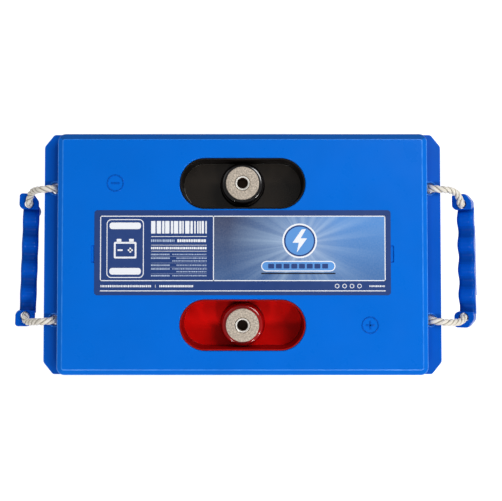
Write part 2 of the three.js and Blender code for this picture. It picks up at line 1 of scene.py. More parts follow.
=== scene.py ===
"""The look of a sealed deep cycle battery with two rope handles, over its CAD frame.

Lengths below are in millimetres in the battery's own frame: origin in the middle of the
container's underside, X along the length, +Y towards the negative pocket, +Z up.
"""

import json
import math
import random

import bpy
from mathutils import Matrix, Vector


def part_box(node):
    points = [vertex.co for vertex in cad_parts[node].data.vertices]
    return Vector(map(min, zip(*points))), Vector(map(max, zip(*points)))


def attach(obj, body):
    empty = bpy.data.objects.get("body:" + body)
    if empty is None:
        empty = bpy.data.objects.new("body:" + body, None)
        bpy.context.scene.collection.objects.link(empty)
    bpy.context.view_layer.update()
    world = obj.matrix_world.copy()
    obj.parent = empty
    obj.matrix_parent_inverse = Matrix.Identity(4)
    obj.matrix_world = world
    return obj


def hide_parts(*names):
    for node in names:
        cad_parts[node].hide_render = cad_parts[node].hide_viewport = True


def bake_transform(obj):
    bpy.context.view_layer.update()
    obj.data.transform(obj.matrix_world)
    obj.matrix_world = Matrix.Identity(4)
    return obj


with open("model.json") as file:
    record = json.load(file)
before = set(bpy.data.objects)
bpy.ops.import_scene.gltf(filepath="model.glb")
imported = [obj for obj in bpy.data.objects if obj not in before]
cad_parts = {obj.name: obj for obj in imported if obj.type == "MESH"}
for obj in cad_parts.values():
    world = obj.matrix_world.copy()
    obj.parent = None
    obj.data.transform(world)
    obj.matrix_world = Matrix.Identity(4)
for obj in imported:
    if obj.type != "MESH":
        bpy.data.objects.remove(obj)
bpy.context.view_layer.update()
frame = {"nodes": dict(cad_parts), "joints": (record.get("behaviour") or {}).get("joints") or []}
random.seed(11)

MM = 0.001


def box_mm(node):
    """The CAD node's lowest and highest corners, in millimetres."""
    low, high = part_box(node)
    return Vector(low) / MM, Vector(high) / MM


# ------------------------------------------------------------------ dimensions

LID_LOW, LID_HIGH = box_mm("lid")
DECK_Z = LID_HIGH.z - 0.4  # the flat top, under the raised marks
LEDGE_X = LID_HIGH.x
LEDGE_Y = LID_HIGH.y
LEDGE_Z = 391.0
PLATEAU_X = 135.2
PLATEAU_Y = 88.0
BEVEL = 4.2
BEVEL_DROP = 2.2
POCKET_LOW, POCKET_HIGH = box_mm("pocket_negative")
POCKET_Y = (POCKET_LOW.y + POCKET_HIGH.y) / 2
POCKET_X = POCKET_HIGH.x
POCKET_HALF = (POCKET_HIGH.y - POCKET_LOW.y) / 2
POCKET_FLOOR = 380.0
TERMINAL_LOW, TERMINAL_HIGH = box_mm("terminal_negative")
TERMINAL_Y = (TERMINAL_LOW.y + TERMINAL_HIGH.y) / 2
BUTTON_Z = TERMINAL_HIGH.z
NOTCH_X = 108.6  # the pry notches at the label's ends
MARK_X, MARK_Y = 92.6, 51.6
ROPE_HOLE_X, ROPE_HOLE_Y = 139.5, 48.9
ROPE = 2.75
STRANDS = 3
LAY = 15.5  # length of rope in which a strand goes round once
GRIP_ABOVE = 3.4  # height of the rope's turning point over the lug's face
GRIP_HOLE = 43.0
GRIP_HALF = 50.9
LUG = 12.2  # length of a lug


# ------------------------------------------------------------------ materials


def linear(hexcode):
    """An sRGB hex colour as linear RGBA."""
    values = [int(hexcode[i : i + 2], 16) / 255 for i in (0, 2, 4)]
    return [v / 12.92 if v <= 0.04045 else ((v + 0.055) / 1.055) ** 2.4 for v in values] + [1.0]


class Nodes:
    """A material's node tree, with short ways to add and join nodes."""

    def __init__(self, name):
        self.material = bpy.data.materials.new(name)
        self.material.use_nodes = True
        self.tree = self.material.node_tree
        self.tree.nodes.clear()
        output = self.add("ShaderNodeOutputMaterial")
        self.shader = self.add("ShaderNodeBsdfPrincipled")
        self.tree.links.new(self.shader.outputs[0], output.inputs["Surface"])

    def add(self, kind, **values):
        node = self.tree.nodes.new(kind)
        for key, value in values.items():
            setattr(node, key, value)
        return node

    def feed(self, node, inputs):
        """Gives a node's inputs their values, or joins them to other nodes' outputs."""
        for key, value in inputs.items():
            if isinstance(value, bpy.types.NodeSocket):
                self.tree.links.new(value, node.inputs[key])
            else:
                node.inputs[key].default_value = value

    def noise(self, vector, scale, detail=3.0, rough=0.55):
        node = self.add("ShaderNodeTexNoise")
        self.feed(node, {"Vector": vector, "Scale": scale, "Detail": detail, "Roughness": rough})
        return node.outputs["Fac"]

    def spread(self, value, low, high, start=0.3, stop=0.7):
        node = self.add("ShaderNodeMapRange", clamp=True)
        ends = {"From Min": start, "From Max": stop, "To Min": low, "To Max": high}
        self.feed(node, {"Value": value, **ends})
        return node.outputs["Result"]

    def blend(self, share, first, second):
        node = self.add("ShaderNodeMix", data_type="RGBA")
        self.feed(node, {0: share, 6: first, 7: second})
        return node.outputs[2]

    def maths(self, operation, first, second=0.0):
        node = self.add("ShaderNodeMath", operation=operation)
        self.feed(node, {0: first, 1: second})
        return node.outputs[0]

    def bump(self, height, strength, distance):
        node = self.add("ShaderNodeBump")
        self.feed(node, {"Strength": strength, "Distance": distance, "Height": height})
        return node.outputs["Normal"]


def scaled(colour, factor):
    return [c * factor for c in colour[:3]] + [1.0]


def surface(
    name,
    hexcode,
    rough=0.4,
    metal=0.0,
    vary=0.06,
    vary_scale=25.0,
    bump=0.12,
    bump_scale=1400.0,
    wear=0.25,
    wear_hex=None,
    specular=0.5,
    all_edge=False,
):
    """A material that varies a little and is worn at its edges, or lighter all over as a painted highlight
    when the all-over flag is set.
    """
    n = Nodes(name)
    place = n.add("ShaderNodeTexCoord").outputs["Object"]
    colour = linear(hexcode)
    clouds = n.spread(n.noise(place, vary_scale), 0.0, 1.0)
    base = n.blend(clouds, scaled(colour, 1 - vary), scaled(colour, 1 + vary))
    if wear > 0:
        worn_and_highlight_tone = [min(1.0, c * 1.25 + 0.05) for c in colour[:3]] + [1.0]
        if wear_hex:
            worn_and_highlight_tone = linear(wear_hex)
        patches = n.spread(n.noise(place, 180.0), 0.2, wear, 0.35, 0.65)
        # laid all over the faces, this lighter tone is a painted highlight rather than wear
        if not all_edge:
            point = n.add("ShaderNodeNewGeometry").outputs["Pointiness"]
            edge = n.spread(point, 0.0, 1.0, 0.515, 0.6)
            patches = n.maths("MULTIPLY", edge, patches)
        base = n.blend(patches, base, worn_and_highlight_tone)
    smears = n.noise(place, vary_scale * 2.3, 4.0)
    n.feed(
        n.shader,
        {
            "Base Color": base,
            "Roughness": n.spread(smears, rough * 0.86, rough * 1.14),
            "Normal": n.bump(n.noise(place, bump_scale, 2.0), bump, 0.04 * MM),
            "Metallic": metal,
            "Specular IOR Level": specular,
        },
    )
    return n.material


def cast_lead():
    """Dull cast metal with a fine stipple and small pits."""
    n = Nodes("cast_lead")
    place = n.add("ShaderNodeTexCoord").outputs["Object"]
    grain = n.noise(place, 1900.0, 3.0, 0.7)
    cells = n.add("ShaderNodeTexVoronoi")
    n.feed(cells, {"Vector": place, "Scale": 1500.0})
    pits = n.spread(cells.outputs["Distance"], 0.0, 1.0, 0.05, 0.45)
    coarse = n.noise(place, 820.0, 2.0, 0.6)
    tone = n.blend(n.spread(coarse, 0.0, 1.0, 0.35, 0.65), linear("9a8f82"), linear("dccfbf"))
    tone = n.blend(n.spread(pits, 0.35, 0.0, 0.0, 1.0), tone, linear("85796c"))
    cloud = n.noise(place, 160.0)
    tone = n.blend(n.spread(cloud, 0.0, 0.3), tone, linear("c4b8a8"))
    relief = n.maths("ADD", pits, n.maths("MULTIPLY", grain, 0.8))
    n.feed(
        n.shader,
        {
            "Base Color": tone,
            "Roughness": n.spread(grain, 0.42, 0.66),
            "Normal": n.bump(relief, 0.5, 0.09 * MM),
            "Metallic": 0.35,
        },
    )
    return n.material


def rope_fibre():
    """Twisted yarn: fine fibres along each strand, soft dirt in patches, and painted shade in the grooves
    between strands.
    """
    n = Nodes("rope_fibre")
    coord = n.add("ShaderNodeTexCoord")
    stretch = n.add("ShaderNodeMapping")
    n.feed(stretch, {"Vector": coord.outputs["UV"], "Scale": (26.0, 1.0, 1.0)})
    fibres = n.noise(stretch.outputs["Vector"], 1.0, 4.0, 0.7)
    dirt = n.noise(coord.outputs["Object"], 260.0, 3.0)
    tone = n.blend(n.spread(fibres, 0.0, 1.0, 0.3, 0.7), linear("ddd5c5"), linear("fbf7ee"))
    tone = n.blend(n.spread(dirt, 0.0, 0.35, 0.45, 0.8), tone, linear("d9cdb4"))
    outward = n.add("ShaderNodeAttribute", attribute_name="outward").outputs["Fac"]
    # painted shade: the strands darken where they turn into the grooves between them
    groove_shade = n.spread(outward, 0.75, 0.0, 0.42, 0.75)
    tone = n.blend(groove_shade, tone, linear("7d725f"))
    n.feed(
        n.shader,
        {
            "Base Color": tone,
            "Roughness": n.spread(dirt, 0.7, 0.95),
            "Normal": n.bump(fibres, 0.8, 0.12 * MM),
            "Sheen Weight": 0.25,
            "Sheen Roughness": 0.5,
        },
    )
    return n.material


def light_rays():
    """Soft rays of light that spread from a bright spot, on blue."""
    n = Nodes("label_rays")
    place = n.add("ShaderNodeTexCoord").outputs["Object"]
    split = n.add("ShaderNodeSeparateXYZ")
    n.feed(split, {0: place})
    east = n.maths("SUBTRACT", split.outputs[0], 44.0 * MM)
    north = n.maths("SUBTRACT", split.outputs[1], 8.0 * MM)
    angle = n.maths("ARCTAN2", north, east)
    squares = n.maths("ADD", n.maths("MULTIPLY", east, east), n.maths("MULTIPLY", north, north))
    far = n.maths("SQRT", squares)
    ring = n.add("ShaderNodeCombineXYZ")
    n.feed(ring, {0: n.maths("COSINE", angle), 1: n.maths("SINE", angle)})
    broad = n.noise(ring.outputs[0], 2.3, 2.0)
    fine = n.noise(ring.outputs[0], 6.5, 3.0)
    rays = n.maths("ADD", n.maths("MULTIPLY", broad, 0.6), n.maths("MULTIPLY", fine, 0.4))
    rays = n.spread(rays, 0.0, 1.0, 0.42, 0.66)
    glow = n.spread(far, 1.0, 0.0, 0.0, 56.0 * MM)
    across = n.spread(split.outputs[0], 0.0, 1.0, -10 * MM, 70 * MM)
    base = n.blend(across, linear("2c3860"), linear("5490d6"))
    low = n.spread(split.outputs[1], 0.0, 0.7, 22 * MM, -16 * MM)
    base = n.blend(low, base, linear("33609a"))
    share = n.maths("MULTIPLY", rays, n.maths("ADD", n.maths("MULTIPLY", glow, 0.62), 0.06))
    tone = n.blend(share, base, linear("c4def5"))
    core = n.maths("MULTIPLY", n.maths("POWER", glow, 3.2), 0.5)
    tone = n.blend(core, tone, linear("d0e2fa"))
    speck = n.noise(place, 900.0, 2.0)
    tone = n.blend(n.spread(speck, 0.0, 0.04), tone, linear("ffffff"))
    finish = {"Roughness": n.spread(speck, 0.30, 0.38), "Normal": n.bump(speck, 0.05, 0.02 * MM)}
    n.feed(n.shader, {"Base Color": tone, **finish})
    return n.material


def moulded(name, hexcode, **changes):
    """Smooth moulded plastic, which hardly varies and isn't worn."""
    usual = {"rough": 0.3, "vary": 0.04, "bump": 0.03, "wear": 0.0, "specular": 0.12}
    return surface(name, hexcode, **{**usual, **changes})


def printed(name, hexcode, **changes):
    """Ink or film on the label."""
    usual = {"rough": 0.34, "vary": 0.05, "bump": 0.05, "wear": 0.0}
    return surface(name, hexcode, **{**usual, **changes})


# the blue plastic: flats; rounded edges lighter as a painted highlight; lower ledges, marks and far bevel
# darker as painted shade; and walls
CASE = moulded("case_blue", "006cda", vary=0.03)
# painted highlight: a lighter blue, lighter still in patches, for rounded edges
CASE_EDGE_HIGHLIGHT = moulded(
    "case_edge_highlight", "1274e0", vary=0.06, wear=0.7, wear_hex="3f94f2", specular=0.25, all_edge=True
)
CASE_LEDGE_SHADE = moulded("case_ledge_shade", "0057c0", rough=0.32, specular=0.1)
CASE_MARK_SHADE = moulded("case_mark_shade", "0059c0")
CASE_BACK_SHADE = moulded("case_back_shade", "1256a8")
CASE_SIDE = moulded("case_side", "0064d2", rough=0.36, bump=0.2, bump_scale=900.0, specular=0.35)
BLACK = moulded(
    "pocket_black", "2a231c", rough=0.22, vary=0.1, wear=0.1, wear_hex="302c28", specular=0.6
)
BLACK_GLOSS_SHADE = moulded(
    "collar_black_shade", "0d0a0c", rough=0.12, vary=0.1, bump=0.02, wear=0.1, wear_hex="302c28", specular=1.0
)
BLACK_WALL_SHADE = moulded("wall_black_shade", "15110f", rough=0.45, vary=0.1, wear=0.1, specular=0.15)
RED = moulded("pocket_red", "e00602", vary=0.06, wear=0.1, wear_hex="c81a0c")
RED_GLOSS_SHADE = moulded(
    "collar_red_shade", "a00407", rough=0.12, vary=0.06, bump=0.02, wear=0.1, wear_hex="b01008", specular=0.8
)
RED_WALL_SHADE = moulded("wall_red_shade", "9a0507", rough=0.45, vary=0.06, wear=0.1)
LEAD = cast_lead()
METAL = {"vary_scale": 300.0, "bump_scale": 2400.0}
# painted highlight: the light tinned ring is made near-white and hardly metallic, whiter at its edges, so
# its chamfer looks bright
INSERT_HIGHLIGHT = surface(
    "tinned_insert_highlight", "f6f2ea", rough=0.28, metal=0.2, bump=0.15, wear=0.4, wear_hex="ffffff", **METAL
)
INSERT_DEEP_SHADE = surface(
    "insert_thread_shade", "6b5443", metal=0.35, vary=0.15, bump=0.2, wear=0.5, wear_hex="8d857a", **METAL
)
RUBBER = surface("rubber", "141414", rough=0.75, vary=0.2, bump=0.3, bump_scale=900.0, wear=0.3)
GRIP = moulded(
    "grip_blue", "0053c0", rough=0.22, vary=0.05, bump_scale=800.0, wear=0.1, specular=0.06
)
GRIP_VALLEY_SHADE = moulded("grip_valley_shade", "0043a0", vary=0.05, wear=0.1, specular=0.06)
GRIP_SLOPE_SHADE = moulded("grip_slope_shade", "004bb0", vary=0.05, wear=0.1, specular=0.06)
FIBRE = rope_fibre()
POROUS = surface("porous_disc", "cfc9bb", rough=0.95, vary=0.12, bump=0.8, bump_scale=1500.0)
GREY_PLATE = surface("negative_plate", "84888c", rough=0.7, metal=0.3, vary=0.15, bump=0.6, bump_scale=500.0)
BROWN_PLATE = surface("positive_plate", "563728", rough=0.85, vary=0.2, bump=0.6, bump_scale=500.0)
GLASS_MAT = surface("glass_mat", "efeeea", rough=0.95, vary=0.08, bump=0.7, bump_scale=1100.0)
NAVY = printed("label_navy", "1f3e7c", rough=0.30, wear=0.1)
WHITE = printed("label_white", "f6f9ff", vary=0.03)
PALE = printed("label_pale", "b9c9e4")
SKY = printed("label_sky", "5f9be0", rough=0.30, vary=0.08)
INK = printed("label_ink", "10182c")
RAYS = light_rays()


# ------------------------------------------------------------------ mesh helpers


SHARP = 32.0  # degrees from which an edge is kept sharp


def new_object(name, points, faces, material, sharp=SHARP):
    """A mesh from points in millimetres, shaded smooth with its sharp edges kept."""
    mesh = bpy.data.meshes.new(name)
    mesh.from_pydata([Vector(p) * MM for p in points], [], faces)
    mesh.validate()
    obj = bpy.data.objects.new(name, mesh)
    bpy.context.scene.collection.objects.link(obj)
    mesh.materials.append(material)
    smooth(obj, sharp)
    return obj


def smooth(obj, sharp):
    mesh = obj.data
    mesh.polygons.foreach_set("use_smooth", [True] * len(mesh.polygons))
    mesh.set_sharp_from_angle(angle=math.radians(sharp))
    mesh.update()


def bake_modifiers(obj):
    """Replaces the mesh by the one its modifiers make."""
    graph = bpy.context.evaluated_depsgraph_get()
    mesh = bpy.data.meshes.new_from_object(obj.evaluated_get(graph), depsgraph=graph)
    old = obj.data
    obj.modifiers.clear()
    obj.data = mesh
    bpy.data.meshes.remove(old)


def boolean(obj, cutter, operation="DIFFERENCE"):
    modifier = obj.modifiers.new("boolean", "BOOLEAN")
    modifier.operation = operation
    modifier.solver = "EXACT"
    modifier.object = cutter
    bake_modifiers(obj)
    mesh = cutter.data
    bpy.data.objects.remove(cutter)
    bpy.data.meshes.remove(mesh)


def even_normals(obj):
    modifier = obj.modifiers.new("normals", "WEIGHTED_NORMAL")
    modifier.keep_sharp = True
    bake_modifiers(obj)


def joined(name, objects):
    """Several objects as one mesh, under the first one's materials and then the others'."""
    mesh = bpy.data.meshes.new(name)
    points, faces, slots, materials, smooths = [], [], [], [], []
    for obj in objects:
        start = len(points)
        points += [obj.matrix_world @ v.co for v in obj.data.vertices]
        faces += [[start + i for i in p.vertices] for p in obj.data.polygons]
        for material in obj.data.materials:
            if material not in materials:
                materials.append(material)
        order = [materials.index(m) for m in obj.data.materials]
        slots += [order[p.material_index] for p in obj.data.polygons]
        smooths += [p.use_smooth for p in obj.data.polygons]
    mesh.from_pydata(points, [], faces)
    for material in materials:
        mesh.materials.append(material)
    mesh.polygons.foreach_set("material_index", slots)
    mesh.polygons.foreach_set("use_smooth", smooths)
    mesh.update()
    whole = bpy.data.objects.new(name, mesh)
    bpy.context.scene.collection.objects.link(whole)
    for obj in objects:
        data = obj.data
        bpy.data.objects.remove(obj)
        if data.users == 0:
            bpy.data.meshes.remove(data)
    mesh.set_sharp_from_angle(angle=math.radians(SHARP))
    return whole


def rectangle(half_x, half_y, radius, steps=8, centre=(0.0, 0.0)):
    """A rectangle with round corners, anticlockwise."""
    points = []
    for k, (sx, sy) in enumerate([(1, 1), (-1, 1), (-1, -1), (1, -1)]):
        for i in range(steps + 1):
            a = math.pi / 2 * (k + i / steps)
            x = centre[0] + sx * (half_x - radius) + radius * math.cos(a)
            y = centre[1] + sy * (half_y - radius) + radius * math.sin(a)
            here = Vector((x, y))
            if not points or (here - points[-1]).length > 1e-3:
                points.append(here)
    if (points[0] - points[-1]).length < 1e-3:
        points.pop()
    return points


def bend(before, corner, after, radius, steps, most):
    """A corner as a curve that takes no more than a share, most, of each of its sides."""
    here = Vector(corner[:2])
    back, ahead = Vector(before[:2]) - here, Vector(after[:2]) - here
    reach = min(radius, back.length * most, ahead.length * most)
    start = here + back.normalized() * reach
    stop = here + ahead.normalized() * reach
    points = []
    for k in range(steps + 1):
        t = k / steps
        points.append((1 - t) ** 2 * start + 2 * t * (1 - t) * here + t * t * stop)
    return points


def rounded(corners, radius, steps=5):
    """A closed outline whose corners are rounded."""
    points = []
    for i, corner in enumerate(corners):
        after = corners[(i + 1) % len(corners)]
        points += bend(corners[i - 1], corner, after, radius, steps, 0.45)
    return points


def profile(corners, steps=5):
    """An open line of (across, up) corners, where a third number rounds a corner."""
    points = [Vector(corners[0][:2])]
    for before, corner, after in zip(corners, corners[1:], corners[2:]):
        if len(corner) > 2:
            points += bend(before, corner, after, corner[2], steps, 0.48)
        else:
            points.append(Vector(corner))
    points.append(Vector(corners[-1][:2]))
    return points


def quarter_round(radius, height, steps, sign):
    """The (inset, height) levels of an edge rounded in (sign 1) or out (sign -1)."""
    levels = []
    for i in range(1, steps + 1):
        a = math.pi / 2 * i / steps
        across = sign * radius * (1 - math.cos(a))
        levels.append((across, height - radius + radius * math.sin(a)))
    return levels


def inset(outline, distance):
    """The outline moved inwards by a distance."""
    moved = []
    count = len(outline)
    for i, point in enumerate(outline):
        before = (point - outline[i - 1]).normalized()
        after = (outline[(i + 1) % count] - point).normalized()
        first = Vector((-before.y, before.x))
        second = Vector((-after.y, after.x))
        moved.append(point + (first + second) / (1 + first.dot(second)) * distance)
    return moved


def ring_faces(rows, sides, start=0, inward=False):
    """The faces that join rows of points, where each row is a closed ring."""
    faces = []
    for row in range(rows):
        for i in range(sides):
            a = start + row * sides + i
            b = start + row * sides + (i + 1) % sides
            face = (a, b, b + sides, a + sides)
            faces.append((a, a + sides, b + sides, b) if inward else face)
    return faces


def stack(name, outline, levels, material):
    """A body whose level outlines are insets of one outline: levels are (inset, height)."""
    count = len(outline)
    points = []
    for distance, height in levels:
        points += [(p.x, p.y, height) for p in inset(outline, distance)]
    faces = ring_faces(len(levels) - 1, count)
    faces.append(tuple(reversed(range(count))))
    faces.append(tuple(range(len(points) - count, len(points))))
    return new_object(name, points, faces, material)


def turned(name, line, centre, material, sides=72):
    """A skin of revolution about Z through centre, from (radius, height) points."""
    points = []
    for radius, height in line:
        for i in range(sides):
            a = 2 * math.pi * i / sides
            x = centre[0] + radius * math.cos(a)
            points.append((x, centre[1] + radius * math.sin(a), height))
    return new_object(name, points, ring_faces(len(line) - 1, sides), material)


def slab(name, outline, low, high, material, edge=0.0):
    levels = [(0, low), (0, high)]
    if edge > 0:
        levels = profile([(0, low), (0, high, edge), (edge * 2, high)])
    return stack(name, outline, levels, material)


def cut_hole(obj, outline, start, high, lip, steps):
    """Cuts a hole up through the face at a height, from its start levels, and rounds its rim."""
    above = 3.0
    rim = quarter_round(lip, high + 0.02, steps, -1)
    levels = [*start, (0, high - lip), *rim, (-lip, high + above)]
    boolean(obj, stack("hole", outline, levels, obj.data.materials[0]))


def paint(obj, material, chosen):
    """Gives a material to the faces that chosen(middle in mm, normal) picks."""
    mesh = obj.data
    if material.name not in mesh.materials:
        mesh.materials.append(material)
    slot = mesh.materials.find(material.name)
    for polygon in mesh.polygons:
        if chosen(polygon.center / MM, polygon.normal):
            polygon.material_index = slot


def on_body(obj, body, node):
    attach(obj, body)
    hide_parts(node)


# ------------------------------------------------------------------ lid


def ledge_outline():
    """The lid's flange seen from above: square with its four corners cut off."""
    cut_x, cut_y = 7.2, 8.9
    x, y = LEDGE_X, LEDGE_Y
    corners = []
    for sx, sy in [(1, 1), (-1, 1), (-1, -1), (1, -1)]:
        pair = [(sx * x, sy * (y - cut_y)), (sx * (x - cut_x), sy * y)]
        corners += pair if sx * sy > 0 else pair[::-1]
    return rounded(corners, 1.5)


def build_lid():
    foot = LID_LOW.z
    edge = profile(
        [(0, foot), (0, DECK_Z - BEVEL_DROP, 1.0), (BEVEL, DECK_Z, 1.0), (BEVEL + 1.2, DECK_Z)], 6
    )
    plateau = stack("lid_top", rectangle(PLATEAU_X, PLATEAU_Y, 5.8, 10), edge, CASE)
    rim = profile([(0, foot), (0, LEDGE_Z, 0.7), (0.7, LEDGE_Z)], 5)
    boolean(plateau, stack("ledge", ledge_outline(), rim, CASE), "UNION")
    boolean(plateau, slab("hollow", rectangle(131, 83.8, 2), foot - 2, DECK_Z - 4, CASE))

    for side in (-1, 1):
        for across in (-1, 1):
            centre = (across * ROPE_HOLE_X, side * ROPE_HOLE_Y)
            hole = rectangle(3.9, 3.9, 3.9, 12, centre)
            cut_hole(plateau, hole, [(0, foot - 3)], LEDGE_Z, 1.5, 6)
        half = POCKET_HALF + 0.25
        opening = rectangle(POCKET_X + 0.25, half, half, 26, (0, side * POCKET_Y))
        cut_hole(plateau, opening, [(0, 370)], DECK_Z, 0.9, 5)
        notch = rectangle(1.5, 6.4, 1.2, 4, (side * NOTCH_X, 0.0))
        boolean(plateau, slab("notch", notch, DECK_Z - 1.1, DECK_Z + 2, CASE))
        # the ledge is hollow underneath on both sides of the rope holes
        for y0, y1 in ((1, 39.5), (58.5, 76), (-39.5, -1), (-76, -58.5)):
            well = rectangle(4.8, (y1 - y0) / 2, 1, 3, (side * 140.2, (y0 + y1) / 2))
            boolean(plateau, slab("well", well, foot - 2, LEDGE_Z - 3.2, CASE))
    smooth(plateau, 30)
    even_normals(plateau)
    # painted shade: the tops of the lower ledges get a darker blue
    paint(plateau, CASE_LEDGE_SHADE, lambda p, n: abs(p.z - LEDGE_Z) < 0.5 and n.z > 0.95)

    def on_rim(p):
        return abs(p.x) > 128 or abs(p.y) > 80

    # painted highlight: the rounded faces of the rim and bevels get the lighter blue
    paint(plateau, CASE_EDGE_HIGHLIGHT, lambda p, n: on_rim(p) and 0.89 < n.z < 0.999)
    paint(plateau, CASE_EDGE_HIGHLIGHT, lambda p, n: on_rim(p) and 0.1 < n.z < 0.88)
    return plateau


def circled_mark(name, centre, plus):
    """A raised ring with a bar or a cross in it."""
    low, high = DECK_Z - 0.3, DECK_Z + 0.4
    line = profile([(5.3, low), (5.4, high, 0.15), (6.2, high, 0.15), (6.3, low)], 3)
    # painted shade: the raised marks are a darker blue than the lid
    pieces = [turned(name, line[::-1], centre, CASE_MARK_SHADE)]
    halves = [(3.1, 0.6), (0.6, 3.1)] if plus else [(3.1, 0.6)]
    for half_x, half_y in halves:
        outline = rectangle(half_x, half_y, 0.25, 3, centre)
        pieces.append(slab(name + "_bar", outline, low, high, CASE_MARK_SHADE, 0.12))
    return pieces


lid = build_lid()
# painted dark reflection: the bevel along the lid's far side is darker
paint(lid, CASE_BACK_SHADE, lambda p, n: n.y > 0.25 and n.z > 0.2 and p.y > 80 and p.z > 398)
minus = circled_mark("minus", (-MARK_X, MARK_Y), False)
plus = circled_mark("plus", (MARK_X, -MARK_Y), True)
lid = joined("lid_shell", [lid, *minus, *plus])
even_normals(lid)
on_body(lid, "battery", "lid")


# ------------------------------------------------------------------ pockets and terminals


def build_pocket(name, side, material, wall, gloss_and_shade):
    """A long round-ended tub with a round collar for the terminal."""
    outline = rectangle(POCKET_X, POCKET_HALF, POCKET_HALF, 26, (0, side * POCKET_Y))
    top = POCKET_HIGH.z
    line = profile(
        [
            (0, POCKET_LOW.z),
            (0, top, 0.3),
            (1.0, top, 0.4),
            (1.2, POCKET_FLOOR, 0.5),
            (7, POCKET_FLOOR),
        ],
        7,
    )
    tub = stack(name + "_tub", outline, line, material)
    # painted shade: the tub's walls and rim get a darker copy of its plastic
    paint(tub, wall, lambda p, n: n.z < 0.9 or p.z > POCKET_FLOOR + 2)
    collar_line = profile(
        [
            (17.2, POCKET_FLOOR - 0.1),
            (16.1, POCKET_FLOOR + 0.4, 0.9),
            (15.4, POCKET_FLOOR + 16.3, 4.2),
            (11.0, POCKET_FLOOR + 16.9),
            (11.0, POCKET_FLOOR + 13),
        ],
        9,
    )
    # the collar's plastic is glossier, and darker as painted shade
    collar = turned(name + "_collar", collar_line, (0, side * TERMINAL_Y), gloss_and_shade)
    return joined(name + "_insert", [tub, collar])


def build_button(name, side):
    """The cast terminal: a post with a wide flat head."""
    top = BUTTON_Z
    line = profile(
        [
            (8.2, TERMINAL_LOW.z),
            (8.2, top - 2.8),
            (12.2, top - 2.8, 0.4),
            (12.2, top, 0.6),
            (5.9, top, 0.3),
            (5.55, top - 0.5),
            (5.55, top - 6),
        ],
        5,
    )
    return turned(name, line, (0, side * TERMINAL_Y), LEAD)


def build_insert(name, side):
    """The threaded insert, with a raised chamfered ring and a real thread."""
    sides, pitch, depth = 48, 1.5, 13.4
    steps = 10  # rows of points in one turn of the thread
    top = BUTTON_Z + 0.6
    centre = (0, side * TERMINAL_Y)
    collar = profile(
        [
            (5.25, top - 8),
            (5.25, top - 0.4, 0.1),
            (5.1, top, 0.08),
            (4.95, top, 0.08),
            (4.05, top - 0.7),
        ],
        4,
    )
    ring = turned(name + "_ring", collar, centre, INSERT_HIGHLIGHT)
    rows = int(depth / pitch * steps)
    points = []
    for row in range(rows + 1):
        height = top - 0.7 - depth * row / rows
        for i in range(sides):
            turn = (row / steps + i / sides) % 1.0
            radius = 4.05 + 0.55 * (1 - abs(2 * turn - 1)) * min(1.0, row / 8)
            a = 2 * math.pi * i / sides
            x = centre[0] + radius * math.cos(a)
            points.append((x, centre[1] + radius * math.sin(a), height))
    faces = ring_faces(rows, sides, inward=True)
    faces.append(tuple(range(rows * sides, (rows + 1) * sides)))
    # painted shade: the thread down in the hole is much darker than the ring
    thread = new_object(name + "_thread", points, faces, INSERT_DEEP_SHADE, 50)
    return joined(name, [ring, thread])


for pole, side, material, wall, gloss_and_shade in (
    ("negative", 1, BLACK, BLACK_WALL_SHADE, BLACK_GLOSS_SHADE),
    ("positive", -1, RED, RED_WALL_SHADE, RED_GLOSS_SHADE),
):
    tub = build_pocket(f"pocket_{pole}_look", side, material, wall, gloss_and_shade)
    on_body(tub, "battery", f"pocket_{pole}")
    on_body(build_button(f"button_{pole}", side), "battery", f"terminal_{pole}")
    on_body(build_insert(f"insert_{pole}", side), "battery", f"thread_insert_{pole}")


# ------------------------------------------------------------------ label


LABEL_LOW, LABEL_HIGH = box_mm("label")
LABEL_MIDDLE_Y = (LABEL_LOW.y + LABEL_HIGH.y) / 2
FILM_Z = LABEL_HIGH.z - 0.1
PRINT = 0.02  # height of one layer of print


def print_shape(name, outline, layer, material):
    low = FILM_Z + PRINT * (layer - 1)
    return slab(name, outline, low, low + PRINT, material)


def bar(x0, x1, y0, y1, layer, material, radius=0.0):
    half_x, half_y = abs(x1 - x0) / 2, abs(y1 - y0) / 2
    middle = ((x0 + x1) / 2, (y0 + y1) / 2)
    radius = max(0.02, min(radius, half_x * 0.98, half_y * 0.98))
    return print_shape("bar", rectangle(half_x, half_y, radius, 3, middle), layer, material)


def words(x0, x1, middle, height, material, size, space):
    """Blocks in the place of a line of small print, between two lengths in size."""
    made = []
    x = x0
    while x < x1 - size[0] * 0.5:
        length = min(random.uniform(*size), x1 - x)
        low, high = middle - height / 2, middle + height / 2
        made.append(bar(x, x + length, low, high, 2, material, height * 0.2))
        x += length + space
    return made


def frame_lines(x0, x1, y0, y1, width):
    return [
        bar(x0, x1, y1 - width, y1, 2, WHITE),
        bar(x0, x1, y0, y0 + width, 2, WHITE),
        bar(x0, x0 + width, y0, y1, 2, WHITE),
        bar(x1 - width, x1, y0, y1, 2, WHITE),
    ]


